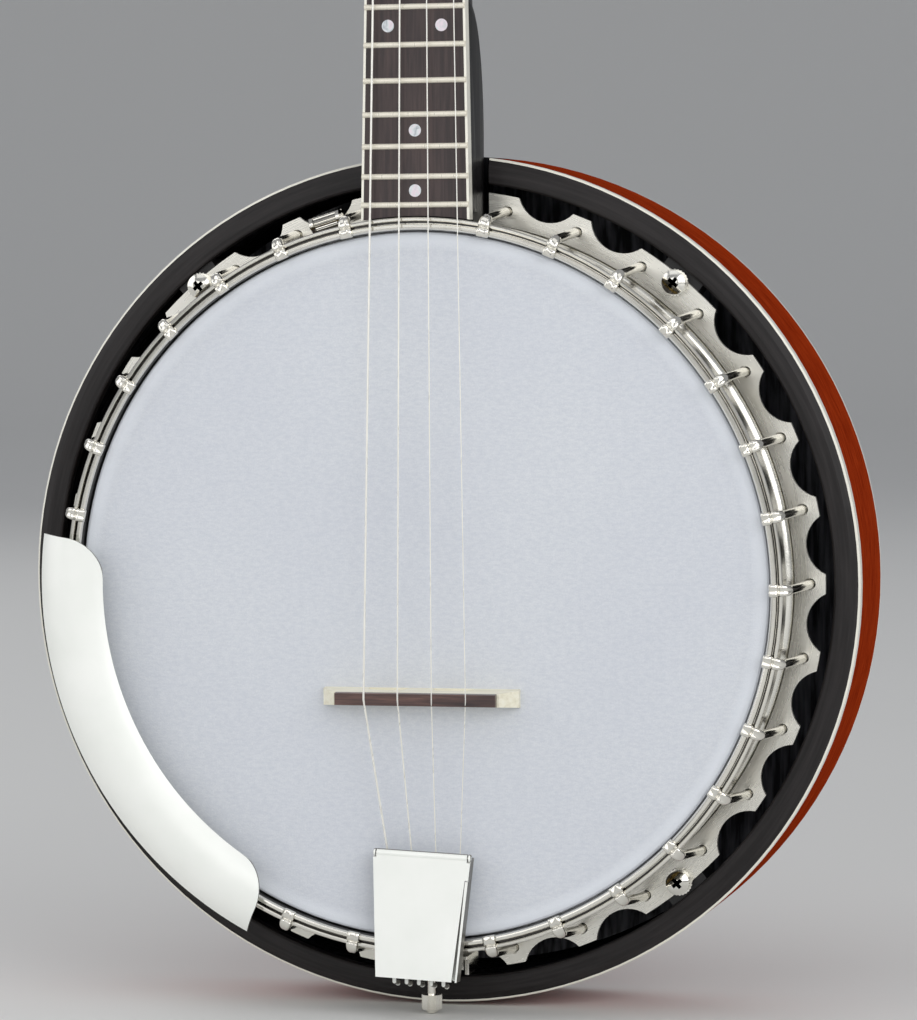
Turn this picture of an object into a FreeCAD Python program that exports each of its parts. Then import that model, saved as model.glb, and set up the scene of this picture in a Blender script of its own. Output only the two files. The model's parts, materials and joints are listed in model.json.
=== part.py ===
"""Four-string resonator banjo, tenor scale, in millimetres.

The pot (drum head, rim, hoop, flange, resonator) is worked out about its own centre: X to the right
as seen from the front, Y from the front of the hook claws towards the back, Z up along the neck.
The neck leans back from the pot, the headstock leans back from the neck, and the tailpiece is tilted
and a little askew, so each has a placement of its own. The last step moves the origin of everything
to the place under the headstock where a hanger holds the neck.
"""
import FreeCAD
import Part

import math
import os

V = FreeCAD.Vector
X_AXIS = V(1, 0, 0)
Y_AXIS = V(0, 1, 0)
Z_AXIS = V(0, 0, 1)

# ---------------------------------------------------------------- driving dimensions
SCALE_LENGTH = 508.0        # nut to the theoretical bridge line
BRIDGE_LINE_Z = -37.6       # theoretical bridge line, from the head's centre
BRIDGE_Z = -44.5            # where the bridge stands
NUT_Z = BRIDGE_LINE_Z + SCALE_LENGTH

HEAD_RADIUS = 139.7         # 11 inch head
HEAD_Y = 6.0                # front of the head, behind the claws' front
FILM = 0.3

RIM_OUTER = 138.6
RIM_INNER = 121.0
RIM_FRONT = 18.0
RIM_BACK = 70.0

HOOP_INNER = 142.5
HOOP_OUTER = 147.8
HOOP_FRONT = 1.9
HOOP_GROOVE_Y = 4.9
HOOP_BACK = 10.6

DIVISIONS = 32              # hook positions round the pot, two of them unused
NECK_POSITION = 0
TAIL_POSITION = 16
STEP = 360.0 / DIVISIONS
HOOK_RADIUS = 2.1
HOOK_CIRCLE = 152.7
HOOK_BEND = 2.2
HOOK_LEAN = 5.5             # degrees that the shaft leans out from the hoop to the flange
HOOK_STRAIGHT_Y = 33.0      # the shaft is straight from here back

FLANGE_FRONT = 36.4
FLANGE_BACK = 38.4
FLANGE_INNER = 146.65
FLANGE_OUTER = 159.1
SCALLOP_RADIUS = 13.56
SCALLOP_DEPTH_RADIUS = 152.0
TUBE_CIRCLE = 142.75
TUBE_RADIUS = 3.85
TUBE_Y = 38.2

RESONATOR_RADIUS = 173.0    # 13 5/8 inch resonator
WALL_INNER = 163.2
RING_INNER = 162.4
WALL_BACK = 90.0
BACK_FLAT_Y = 101.0
BACK_FLAT_RADIUS = 60.0
BINDING = 0.9
SCREW_CIRCLE = 156.2
SCREW_ANGLES = [3.5 * STEP, 12.5 * STEP, 19.5 * STEP, 28.5 * STEP]

NECK_LEAN = 1.69            # degrees
HEADSTOCK_LEAN = 12.0
BOARD_END_Z = 148.0
BOARD_Y = 3.5               # fingerboard's playing surface where it ends
BOARD_THICK = 5.5
BOARD_WIDTH_END = 44.6
BOARD_WIDTH_NUT = 32.6
BOARD_BINDING = 1.0
FRETS = 17
HEEL_BACK = 66.0
WOOD_Y = BOARD_Y + BOARD_THICK
HEEL_GAP = 22.4
HEEL_GAP_BACK = 15.2
HEEL_ROWS = [(WOOD_Y, 20.9, 241, 10), (20, 21.3, 235, 10), (28, 21.2, 222, 11), (36.4, 20.2, 200, 12),
             (48, 17.4, 182, 12), (HEEL_BACK, 13.8, 172, 12)]     # y, half width, top, corner
HANGER_RADIUS = 2.5
ROD_Y = (30.0, 52.0)
ROD_RADIUS = 4.0
FACE_Y = BOARD_Y + 4.5      # front of the headstock's veneer
VENEER = 1.0
HEADSTOCK_THICK = 13.0
HEADSTOCK_LENGTH = 142.0

PEG_PLACES = [(21.0, 42.0), (18.5, 88.0), (-18.5, 88.0), (-21.0, 42.0)]   # first string's peg first
POST_RADIUS = 3.0
WINDING_OUT = 7.5           # the string meets its post this far in front of the face
PEG_BACK = HEADSTOCK_THICK + VENEER
CASE_RADIUS = 9.5
CASE_DEPTH = 13.0
SUN_RADIUS = 2.1
PLANET_RADIUS = 2.2
PLANET_CIRCLE = 4.6

NUT_SPACING = 8.53
BRIDGE_SPACING = 14.0
BAR_SPACING = 10.0
HOOK_SPACING = 5.1
STRING_RADII = [0.22, 0.26, 0.34, 0.44]     # first string is the thinnest
BRIDGE_HEIGHT = 13.0
BRIDGE_HALF = 40.4
BRIDGE_CENTRE_X = 0.4
BRIDGE_WINDOW_X = 13.5
BRIDGE_WINDOW_HALF = 8.0
CAP_HALF = 33.1
CAP_HEIGHT = 2.6

TAIL_FRONT_Z = -107.6
TAIL_REAR_Z = -157.5
TAIL_TILT = 2.9             # degrees, so that the base clears the hoop
TAIL_SKEW = 2.6
TAIL_SHIFT = -0.3            # sideways
TAIL_PIVOT_Z = -150.0
TAIL_HALF_FRONT = 20.2
TAIL_HALF_REAR = 16.8
TAIL_BASE_Y = 3.4
BAR_Y = -1.3
BAR_RADIUS = 1.6
PIN_RADIUS = 0.8
SHEET = 1.0
COVER_TOP = BAR_Y - BAR_RADIUS + 0.3
COVER_THICK = 0.8
EAR_DEPTH = 1.8             # the cover is narrower beside the ears
SLIT_START = 9.0            # behind the front, the cover leaves a slit along the right wall
SLIT_INSET = 2.2
ADJUSTER_Y = 18.0

ARMREST_START = 207.3       # degrees clockwise from the neck
ARMREST_END = 277.6
ARMREST_INNER = 131.0
ARMREST_CORNER = 16.5
ARMREST_LEGS = [20.5 * STEP, 23.5 * STEP]
ARMREST_TOP = [(130.4, -4.2), (144.0, -7.4), (157.8, -0.7)]      # radius and y across the plate
ARMREST_UNDER = [(131.1, -3.4), (144.0, -6.4), (157.0, 0.0)]

STRAP_ANGLE = -1.5 * STEP
STRAP_PIN_Y = 31.4
STRAP_PIN_Z = 153.2

CLEAR = 0.06                # radial running clearance of shafts


# ---------------------------------------------------------------- placements
def turn(centre, axis, degrees):
    """A rotation about a line through centre."""
    return FreeCAD.Placement(V(0, 0, 0), FreeCAD.Rotation(axis, degrees), centre)


NECK = turn(V(0, BOARD_Y, BOARD_END_Z), X_AXIS, -NECK_LEAN)
HEADSTOCK = NECK.multiply(turn(V(0, FACE_Y, NUT_Z), X_AXIS, -HEADSTOCK_LEAN))
TAIL = FreeCAD.Placement(V(TAIL_SHIFT, 0, 0), FreeCAD.Rotation()).multiply(
    turn(V(0, 0, TAIL_PIVOT_Z), Y_AXIS, TAIL_SKEW)).multiply(
    turn(V(0, TAIL_BASE_Y, TAIL_FRONT_Z), X_AXIS, -TAIL_TILT))
CRADLE = NECK.multVec(V(0, BOARD_Y + 11.0, NUT_Z))


def placed(shape, placement):
    return shape.transformed(placement.toMatrix(), True)


def round_pot(shape, degrees):
    """Turn a shape, made at the top of the pot, clockwise to its own place."""
    return placed(shape, turn(V(0, 0, 0), Y_AXIS, degrees))


def save(name, shape):
    """Move to the hanger's origin and write one node."""
    moved = placed(shape, FreeCAD.Placement(-CRADLE, FreeCAD.Rotation()))
    if not moved.isValid():
        print("not valid:", name)
    moved.exportStep("parts/" + name + ".step")


# ---------------------------------------------------------------- small shapes
def rod(radius, start, end):
    return Part.makeCylinder(radius, (end - start).Length, start, end - start)


def pipe(outer, inner, start, end):
    return rod(outer, start, end).cut(rod(inner, start, end))


def block(x0, x1, y0, y1, z0, z1):
    return Part.makeBox(x1 - x0, y1 - y0, z1 - z0, V(x0, y0, z0))


def polygon(points):
    return Part.Face(Part.makePolygon(points + [points[0]]))


def revolved(outline, degrees=360.0):
    """Revolve (radius, y) points about the pot's axis."""
    return polygon([V(r, y, 0) for r, y in outline]).revolve(V(0, 0, 0), Y_AXIS, degrees)


def ridged(outer, inner, ridges, start, length):
    """A disc along +Y with straight ridges on its edge, as a knurl or as gear teeth."""
    points = []
    for i in range(ridges):
        for part, radius in ((0.0, inner), (0.25, outer), (0.5, outer), (0.75, inner)):
            a = 2 * math.pi * (i + part) / ridges
            points.append(start + V(radius * math.sin(a), 0, radius * math.cos(a)))
    return polygon(points).extrude(V(0, length, 0))


def hexagon(across, start, length):
    """A hexagonal prism along +Y."""
    corner = across / math.sqrt(3)
    points = []
    for i in range(6):
        a = math.radians(60 * i)
        points.append(start + V(corner * math.cos(a), 0, corner * math.sin(a)))
    return polygon(points).extrude(V(0, length, 0))


def laid_down(shape):
    """Turn a shape made along +Y to run along +Z instead."""
    return placed(shape, turn(V(0, 0, 0), X_AXIS, 90))


def used_positions():
    return [k for k in range(DIVISIONS) if k not in (NECK_POSITION, TAIL_POSITION)]


# ---------------------------------------------------------------- rim and head
def rim():
    body = revolved([(RIM_INNER, RIM_FRONT), (RIM_OUTER, RIM_FRONT),
                     (RIM_OUTER, RIM_BACK), (RIM_INNER, RIM_BACK)])
    bores = [rod(HANGER_RADIUS, V(0, y, -RIM_OUTER - 1), V(0, y, RIM_OUTER + 1)) for y in ROD_Y]
    return body.cut(bores)


def tone_ring():
    top = HEAD_Y + FILM
    return revolved([(127, top), (138.9, top), (139.7, top + 1.0), (139.7, 13.4), (RIM_OUTER, 14.5),
                     (RIM_OUTER, RIM_FRONT), (130, RIM_FRONT), (130, 12), (127, 12)])


def drum_head():
    front = HEAD_Y
    return revolved([(0, front), (140.9, front), (141.7, front + 0.3), (142.1, front + 1.0),
                     (142.3, HOOP_BACK - 0.2), (142.3, HOOP_BACK), (142.0, HOOP_BACK),
                     (141.8, front + 1.1), (141.5, front + 0.6), (140.8, front + FILM), (0, front + FILM)])


def flesh_hoop():
    return revolved([(140.6, HOOP_BACK), (144.6, HOOP_BACK), (144.6, HOOP_BACK + 3.2),
                     (140.6, HOOP_BACK + 3.2)])


def tension_hoop():
    """Two ridges with a groove between them, and a notch for every claw."""
    front = HOOP_FRONT
    body = revolved([(HOOP_INNER, HOOP_BACK), (HOOP_INNER, front + 2.6),
                     (142.8, front + 1.2), (143.4, front + 0.2),
                     (143.9, front), (144.9, front), (145.2, front + 0.3), (145.3, HOOP_GROOVE_Y),
                     (146.2, HOOP_GROOVE_Y), (146.3, front + 0.3), (146.6, front), (147.4, front),
                     (HOOP_OUTER, front + 0.4), (HOOP_OUTER, HOOP_BACK)])
    half = HOOK_RADIUS + 0.1
    notch = block(-half, half, 0, 2 * HOOK_RADIUS, HOOP_INNER - 1, HOOP_OUTER + 1)
    return body.cut([round_pot(notch, k * STEP) for k in used_positions()])


# ---------------------------------------------------------------- hooks, nuts, flange
def bracket_hook():
    """Claw over the hoop, a bend, and a shaft that leans out and then runs back through the flange."""
    lean = math.radians(HOOK_LEAN)
    tip = HOOP_INNER - 0.1
    bend_y = HOOK_RADIUS + HOOK_BEND
    end_y = bend_y - HOOK_BEND * math.sin(lean)
    end_z = HOOK_CIRCLE - math.tan(lean) * (HOOK_STRAIGHT_Y - end_y)
    bend_z = end_z - HOOK_BEND * math.cos(lean)
    claw = rod(HOOK_RADIUS, V(0, HOOK_RADIUS, tip), V(0, HOOK_RADIUS, bend_z))
    claw = claw.makeFillet(0.8, [claw.Edges[2]])
    section = Part.Face(Part.Wire(Part.makeCircle(HOOK_RADIUS, V(0, HOOK_RADIUS, bend_z), Z_AXIS)))
    bend = section.revolve(V(0, bend_y, bend_z), X_AXIS, HOOK_LEAN - 90)
    knee = V(0, HOOK_STRAIGHT_Y, HOOK_CIRCLE)
    leaning = rod(HOOK_RADIUS, V(0, end_y, end_z), knee)
    straight = rod(HOOK_RADIUS, knee, V(0, FLANGE_BACK + 10, HOOK_CIRCLE))
    return claw.fuse([bend, leaning, Part.makeSphere(HOOK_RADIUS, knee), straight]).removeSplitter()


def bracket_hooks():
    hook = bracket_hook()
    return Part.makeCompound([round_pot(hook, k * STEP) for k in used_positions()])


def closed_nut(across):
    """A hexagonal nut against the back of the flange, closed at its far end."""
    start = V(0, FLANGE_BACK, HOOK_CIRCLE)
    nut = hexagon(across, start, 12)
    return nut.cut(rod(HOOK_RADIUS, start, start + V(0, 10, 0)))


def bracket_nuts():
    nut = closed_nut(7.4)
    return Part.makeCompound([round_pot(nut, k * STEP) for k in used_positions()])


def heel_gap():
    """The space for the heel in the flange and the resonator, narrower towards the back."""
    level = FLANGE_BACK
    points = [V(-HEEL_GAP, 0, 100), V(HEEL_GAP, 0, 100),
              V(HEEL_GAP, level, 100), V(HEEL_GAP_BACK, RIM_BACK, 100),
              V(-HEEL_GAP_BACK, RIM_BACK, 100), V(-HEEL_GAP, level, 100)]
    return polygon(points).extrude(V(0, 0, RESONATOR_RADIUS - 95))


def flange_tube():
    tube = Part.makeTorus(TUBE_CIRCLE, TUBE_RADIUS, V(0, TUBE_Y, 0), Y_AXIS)
    return tube.cut(heel_gap())


def flange():
    plate = revolved([(FLANGE_INNER, FLANGE_FRONT), (FLANGE_OUTER, FLANGE_FRONT),
                      (FLANGE_OUTER, FLANGE_BACK), (FLANGE_INNER, FLANGE_BACK)])
    before = V(0, FLANGE_FRONT - 1, 0)
    behind = V(0, FLANGE_BACK + 1, 0)
    hole = rod(HOOK_RADIUS + 0.3, before + V(0, 0, HOOK_CIRCLE), behind + V(0, 0, HOOK_CIRCLE))
    centre = V(0, 0, SCALLOP_DEPTH_RADIUS + SCALLOP_RADIUS)
    scallop = rod(SCALLOP_RADIUS, before + centre, behind + centre)
    bore = V(0, 0, SCREW_CIRCLE)
    screw_hole = rod(2.5, before + bore, behind + bore)
    cuts = [round_pot(hole, k * STEP) for k in range(1, DIVISIONS)]
    cuts += [round_pot(screw_hole, a) for a in SCREW_ANGLES]
    for k in range(1, DIVISIONS - 1):
        middle = (k + 0.5) * STEP
        if middle not in SCREW_ANGLES:
            cuts.append(round_pot(scallop, middle))
    cuts.append(heel_gap())
    return plate.cut(cuts)


# ---------------------------------------------------------------- resonator
def resonator_side():
    wall = revolved([(WALL_INNER, 41), (RESONATOR_RADIUS - BINDING, 41), (RESONATOR_RADIUS - BINDING, 42.6),
                     (RESONATOR_RADIUS, 42.6), (RESONATOR_RADIUS, WALL_BACK), (WALL_INNER, WALL_BACK)])
    return wall.cut(heel_gap())


def resonator_ring():
    outer = RESONATOR_RADIUS - BINDING
    ring = revolved([(RING_INNER, 41), (RING_INNER, 37.1), (162.7, 36.4), (163.4, 36.1),
                     (165.5, 36.1), (169.5, 36.5),
                     (outer, 37.5), (outer, 41)])
    return ring.cut(heel_gap())


def front_binding():
    inner = RESONATOR_RADIUS - BINDING
    band = revolved([(inner, 37.6), (172.7, 37.8), (RESONATOR_RADIUS, 38.2), (RESONATOR_RADIUS, 42.6),
                     (inner, 42.6)])
    return band.cut(heel_gap())


def rear_binding():
    return revolved([(171.4, WALL_BACK), (172.9, WALL_BACK), (172.9, 92.6), (172.3, 93.4), (171.4, 93.6)])


def resonator_back():
    """A shallow dome with a flat in its middle, thinner towards the edge."""
    rise = Part.Arc(V(171.4, 93.6, 0), V(120, 98.7, 0), V(BACK_FLAT_RADIUS, BACK_FLAT_Y, 0)).toShape()
    under = Part.Arc(V(BACK_FLAT_RADIUS, BACK_FLAT_Y - 4, 0), V(120, 94.9, 0),
                     V(164, WALL_BACK, 0)).toShape()
    corners = [V(0, BACK_FLAT_Y, 0), V(0, BACK_FLAT_Y - 4, 0), V(171.4, WALL_BACK, 0)]
    edges = [rise, Part.makeLine(V(BACK_FLAT_RADIUS, BACK_FLAT_Y, 0), corners[0]),
             Part.makeLine(corners[0], corners[1]),
             Part.makeLine(corners[1], V(BACK_FLAT_RADIUS, BACK_FLAT_Y - 4, 0)), under,
             Part.makeLine(V(164, WALL_BACK, 0), corners[2]), Part.makeLine(corners[2], V(171.4, 93.6, 0))]
    return Part.Face(Part.Wire(edges)).revolve(V(0, 0, 0), Y_AXIS, 360)


def resonator_lugs():
    """Blocks inside the wall that the resonator screws go into."""
    lug = block(-9, 9, FLANGE_BACK, 54, 150.5, WALL_INNER + 5)
    lug = lug.common(rod(WALL_INNER, V(0, 30, 0), V(0, 60, 0)))
    lug = lug.cut(pipe(WALL_INNER + 5, RING_INNER - 0.1, V(0, FLANGE_BACK - 1, 0), V(0, 41, 0)))
    lug = lug.cut(rod(2.3, V(0, 30, SCREW_CIRCLE), V(0, 51, SCREW_CIRCLE)))
    return Part.makeCompound([round_pot(lug, a) for a in SCREW_ANGLES])


def resonator_screw():
    """Knurled collar, a round head with a domed face, and a cross slot whose arms are cut to a V."""
    seat = V(0, FLANGE_FRONT, SCREW_CIRCLE)
    collar = ridged(5.5, 5.2, 24, seat - V(0, 2.2, 0), 2.2)
    dome = Part.makeSphere(9.0, seat + V(0, 2.15, 0))
    dome = dome.common(rod(4.8, seat - V(0, 8, 0), seat - V(0, 2.2, 0)))
    shank = rod(2.3, seat, seat + V(0, 14, 0))
    screw = collar.fuse([dome, shank])
    half = 2.3
    arm = polygon([seat + V(-0.75, -8, -half), seat + V(0.75, -8, -half), seat + V(0.75, -6.6, -half),
                   seat + V(0, -4.6, -half), seat + V(-0.75, -6.6, -half)]).extrude(V(0, 0, 2 * half))
    return screw.cut([arm, placed(arm, turn(seat, Y_AXIS, 90))])


def resonator_screws():
    screw = resonator_screw()
    return Part.makeCompound([round_pot(screw, a) for a in SCREW_ANGLES])


# ---------------------------------------------------------------- neck


def board_half(z):
    """Half of the neck's width at a height."""
    share = (z - BOARD_END_Z) / (NUT_Z - BOARD_END_Z)
    return (BOARD_WIDTH_END + share * (BOARD_WIDTH_NUT - BOARD_WIDTH_END)) / 2


def fret_z(number):
    return BRIDGE_LINE_Z + SCALE_LENGTH * 2 ** (-number / 12)


def neck_section(z, top, depth, half):
    """A flat front and a half ellipse behind it."""
    left = V(-half, top, z)
    right = V(half, top, z)
    ellipse = Part.Ellipse(V(0, top, z), max(half, depth), min(half, depth))
    if depth > half:
        ellipse.AngleXU = math.pi / 2
    quarter = 1 / math.sqrt(2)
    side = [V(-half * quarter, top + depth * quarter, z), V(0, top + depth, z),
            V(half * quarter, top + depth * quarter, z)]
    curve = Part.BSplineCurve()
    curve.interpolate([left] + side + [right], InitialTangent=V(0, 1, 0), FinalTangent=V(0, -1, 0))
    return Part.Wire([curve.toShape(), Part.makeLine(right, left)])


def heel_section(y, half, top, corner):
    """A flat side towards the rim, straight flanks and rounded shoulders up the neck."""
    bottom = 130.0
    mid = top - corner
    curve = Part.BSplineCurve()
    quarter = 1 / math.sqrt(2)
    inner = half - corner
    bend = corner * quarter
    points = [V(half, y, mid), V(inner + bend, y, mid + bend), V(inner, y, top - 0.1),
              V(0, y, top), V(-inner, y, top - 0.1), V(-inner - bend, y, mid + bend),
              V(-half, y, mid)]
    curve.interpolate(points, InitialTangent=V(0, 0, 1), FinalTangent=V(0, 0, -1))
    return Part.Wire([Part.makeLine(V(-half, y, mid), V(-half, y, bottom)),
                      Part.makeLine(V(-half, y, bottom), V(half, y, bottom)),
                      Part.makeLine(V(half, y, bottom), V(half, y, mid)), curve.toShape()])


def headstock_outline(y):
    """One side is a curve from the nut to the crest, and the other side mirrors it."""
    side = [(16.6, -4), (17.6, 8), (25.5, 22), (30.5, 38), (29.5, 62), (27.0, 88), (28.5, 110),
            (31.5, 124), (26, 134), (13, 136), (0, HEADSTOCK_LENGTH)]
    curves = []
    for sign in (1, -1):
        curve = Part.BSplineCurve()
        curve.interpolate([V(sign * x, y, NUT_Z + z) for x, z in side])
        curves.append(curve.toShape())
    low = NUT_Z - 4
    return Part.Face(Part.Wire([curves[0], curves[1], Part.makeLine(V(-16.6, y, low), V(16.6, y, low))]))


def peg_bores(radius, depth):
    return [rod(radius, V(x, FACE_Y - 5, NUT_Z + z), V(x, FACE_Y + depth, NUT_Z + z))
            for x, z in PEG_PLACES]


def below_nut():
    """What the headstock leaves to the fingerboard's end."""
    return block(-30, 30, 0, 40, NUT_Z - 10, NUT_Z + 0.3)


def headstock():
    plate = headstock_outline(FACE_Y + VENEER).extrude(V(0, HEADSTOCK_THICK, 0))
    plate = plate.cut(below_nut())
    return plate.cut(peg_bores(4.8, 30))


def truss_pocket():
    return block(-4.2, 4.2, FACE_Y - 3, FACE_Y + 8.5, NUT_Z + 6, NUT_Z + 18)


def neck():
    shaft_top = NUT_Z - 14
    shaft = Part.makeLoft([neck_section(150, WOOD_Y, 18.5, board_half(150)),
                           neck_section(shaft_top, WOOD_Y, 15, board_half(shaft_top))], True)
    volute = Part.makeLoft([neck_section(shaft_top, WOOD_Y, 15, board_half(shaft_top)),
                            neck_section(NUT_Z - 2, WOOD_Y, 17.5, board_half(NUT_Z)),
                            neck_section(NUT_Z + 14, WOOD_Y + 4, 11, 15.5)], True)
    volute = volute.cut(block(-30, 30, 0, WOOD_Y, shaft_top - 5, NUT_Z + 20))
    heel = Part.makeLoft([heel_section(*row) for row in HEEL_ROWS], True)
    wood = placed(shaft.fuse([volute, heel]), NECK).fuse(placed(headstock(), HEADSTOCK))
    cuts = [rod(RIM_OUTER, V(0, -5, 0), V(0, RIM_BACK + 10, 0)),
            rod(HOOP_OUTER + 0.5, V(0, -5, 0), V(0, HOOP_BACK + 4, 0)),
            placed(block(-3, 3, WOOD_Y - 1, WOOD_Y + 7.4, 165, NUT_Z + 14), NECK),
            placed(truss_pocket(), HEADSTOCK)]
    cuts += [rod(HANGER_RADIUS, V(0, y, 130), V(0, y, 156)) for y in ROD_Y]
    return wood.cut(cuts).removeSplitter()


def heel_cap():
    cap = Part.Face(heel_section(*HEEL_ROWS[-1])).extrude(V(0, 1.6, 0))
    return placed(cap, NECK).cut(rod(RIM_OUTER, V(0, 0, 0), V(0, RIM_BACK + 10, 0)))


def board_blank(inset):
    low = BOARD_END_Z - 6
    a = board_half(low) - inset
    b = board_half(NUT_Z) - inset
    face = polygon([V(-a, BOARD_Y, low), V(a, BOARD_Y, low), V(b, BOARD_Y, NUT_Z), V(-b, BOARD_Y, NUT_Z)])
    return placed(face.extrude(V(0, BOARD_THICK, 0)), NECK)


def hoop_space():
    return rod(HOOP_OUTER + 0.5, V(0, -5, 0), V(0, 20, 0))


def fret_crown(z):
    half = board_half(z) - 0.15
    crown = rod(1.15, V(-half, BOARD_Y + 0.15, z), V(half, BOARD_Y + 0.15, z))
    return crown.common(block(-half, half, BOARD_Y - 3, BOARD_Y, z - 3, z + 3))


def fret_tang(z):
    half = board_half(z) - BOARD_BINDING - 0.05
    return block(-half, half, BOARD_Y, BOARD_Y + 1.6, z - 0.3, z + 0.3)


def fret_lines():
    return [fret_z(n) for n in range(1, FRETS + 1)]


def frets():
    wires = [placed(fret_crown(z).fuse(fret_tang(z)), NECK) for z in fret_lines()]
    return Part.makeCompound(wires)


def marker_discs():
    """Pearl dots in the fingerboard, two of them at the octave, and small ones in its bass edge."""
    face_dots = []
    edge_dots = []
    for number in (3, 5, 7, 10, 12, 15, 17):
        z = (fret_z(number) + fret_z(number - 1)) / 2
        places = (-11.0, 11.0) if number == 12 else (0.0,)
        for x in places:
            face_dots.append(rod(2.5, V(x, BOARD_Y, z), V(x, BOARD_Y + 1.2, z)))
        edge = -board_half(z)
        edge_dots.append(rod(1.0, V(edge + 0.05, BOARD_Y + 2.8, z), V(edge + 0.8, BOARD_Y + 2.8, z)))
    return [placed(s, NECK) for s in face_dots], [placed(s, NECK) for s in edge_dots]


def fingerboard():
    face_dots, edge_dots = marker_discs()
    cuts = [placed(fret_tang(z), NECK) for z in fret_lines()]
    return board_blank(BOARD_BINDING).cut([hoop_space()] + cuts + face_dots)


def fingerboard_binding():
    face_dots, edge_dots = marker_discs()
    return board_blank(0).cut([board_blank(BOARD_BINDING), hoop_space()] + edge_dots)


def fret_markers():
    face_dots, edge_dots = marker_discs()
    return Part.makeCompound(face_dots + edge_dots)


def string_nut():
    half = board_half(NUT_Z)
    top = BOARD_Y - 1.5
    profile = [(top + 0.3, NUT_Z), (top, NUT_Z + 0.8), (top + 0.9, NUT_Z + 5), (FACE_Y, NUT_Z + 5),
               (WOOD_Y, NUT_Z + 0.02), (WOOD_Y, NUT_Z)]
    body = polygon([V(-half, y, z) for y, z in profile]).extrude(V(2 * half, 0, 0))
    body = placed(body, NECK)
    lowered = placed(block(-30, 30, FACE_Y, 40, NUT_Z - 1, NUT_Z + 20), HEADSTOCK)
    return body.cut([lowered] + [string_path(i, 0.03) for i in range(4)])


def headstock_veneer():
    sheet = headstock_outline(FACE_Y).extrude(V(0, VENEER, 0))
    sheet = sheet.cut([below_nut(), truss_pocket()] + peg_bores(4.8, 10))
    return placed(sheet, HEADSTOCK)


def truss_rod():
    y = WOOD_Y + 4.7
    bar = rod(2.4, V(0, y, 168), V(0, y, NUT_Z + 7))
    nut = laid_down(hexagon(5.4, V(0, 0, 0), 6)).translated(V(0, y, NUT_Z + 7))
    return placed(bar.fuse(nut), NECK)


def truss_rod_cover():
    """A small bell-shaped plate over the truss rod's pocket."""
    low = NUT_Z + 5.4
    side = [(9.5, low), (9.0, low + 6), (6.5, low + 13), (4.6, low + 20), (0, low + 25)]
    curves = []
    for sign in (1, -1):
        curve = Part.BSplineCurve()
        curve.interpolate([V(sign * x, FACE_Y - 1.6, z) for x, z in side])
        curves.append(curve.toShape())
    base = Part.makeLine(V(-9.5, FACE_Y - 1.6, low), V(9.5, FACE_Y - 1.6, low))
    plate = Part.Face(Part.Wire(curves + [base])).extrude(V(0, 1.6, 0))
    return placed(plate.cut([rod(0.9, c - V(0, 5, 0), c) for c in cover_screw_places()]), HEADSTOCK)


def cover_screw_places():
    return [V(-7, FACE_Y, NUT_Z + 8), V(7, FACE_Y, NUT_Z + 8), V(0, FACE_Y, NUT_Z + 26)]


def small_screw(place, standing):
    """Round-headed screw along +Y whose head sits on a plate this far in front of its place."""
    seat = place - V(0, standing, 0)
    head = Part.makeSphere(2.0, seat + V(0, 0.9, 0)).common(rod(2.0, seat - V(0, 2, 0), seat))
    slot = block(seat.x - 2, seat.x + 2, seat.y - 3, seat.y - 0.6, seat.z - 0.25, seat.z + 0.25)
    return head.cut(slot).fuse(rod(0.9, seat, place))


def small_screws():
    cover = [placed(small_screw(p, 1.6), HEADSTOCK) for p in cover_screw_places()]
    foot = small_screw(V(0, FLANGE_FRONT, 152.4), 1.5)
    return Part.makeCompound(cover + [round_pot(foot, a) for a in ARMREST_LEGS])


def hanger_bolts():
    return Part.makeCompound([rod(HANGER_RADIUS, V(0, y, 112), V(0, y, 155)) for y in ROD_Y])


def coordinator_rods():
    """Two bars across the inside of the rim, each pulled to its tail end by a bolt and a nut."""
    pieces = []
    for y in ROD_Y:
        bar = rod(ROD_RADIUS, V(0, y, -RIM_INNER + 1.5), V(0, y, RIM_INNER - 1.5))
        bar = bar.cut([rod(HANGER_RADIUS, V(0, y, 112), V(0, y, RIM_INNER)),
                       rod(HANGER_RADIUS, V(0, y, -RIM_INNER), V(0, y, -110))])
        bolt = rod(HANGER_RADIUS, V(0, y, -RIM_OUTER), V(0, y, -110))
        head = laid_down(hexagon(8, V(0, 0, 0), 3)).translated(V(0, y, -RIM_OUTER - 3))
        pieces += [bar, bolt.fuse(head)]
    return Part.makeCompound(pieces)


# ---------------------------------------------------------------- pegs


def peg(shape, number):
    """Move a shape made along +Y from the headstock's face to its peg's place."""
    x, z = PEG_PLACES[number]
    return placed(shape.translated(V(x, FACE_Y, NUT_Z + z)), HEADSTOCK)


def tuner_case():
    """Gear case behind the headstock, with a neck that comes through to the front."""
    back = PEG_BACK
    case = rod(CASE_RADIUS, V(0, back, 0), V(0, back + CASE_DEPTH, 0))
    case = case.makeFillet(1.5, [case.Edges[0]])
    sleeve = rod(4.8, V(0, 0, 0), V(0, back, 0))
    cavity = rod(7.2, V(0, back + 1.5, 0), V(0, back + CASE_DEPTH - 1.8, 0))
    bore = rod(POST_RADIUS + CLEAR, V(0, -1, 0), V(0, back + 4, 0))
    shaft_bore = rod(2.0 + CLEAR, V(0, back + 4, 0), V(0, back + CASE_DEPTH + 1, 0))
    return case.fuse(sleeve).cut([cavity, bore, shaft_bore])


def tuner_bushing():
    """Hexagonal collar on the face, round the case's sleeve."""
    collar = hexagon(13.5, V(0, -2.2, 0), 2.2).common(rod(7.2, V(0, -2.2, 0), V(0, 0, 0)))
    return collar.cut(rod(POST_RADIUS + CLEAR, V(0, -3, 0), V(0, 1, 0)))


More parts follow.
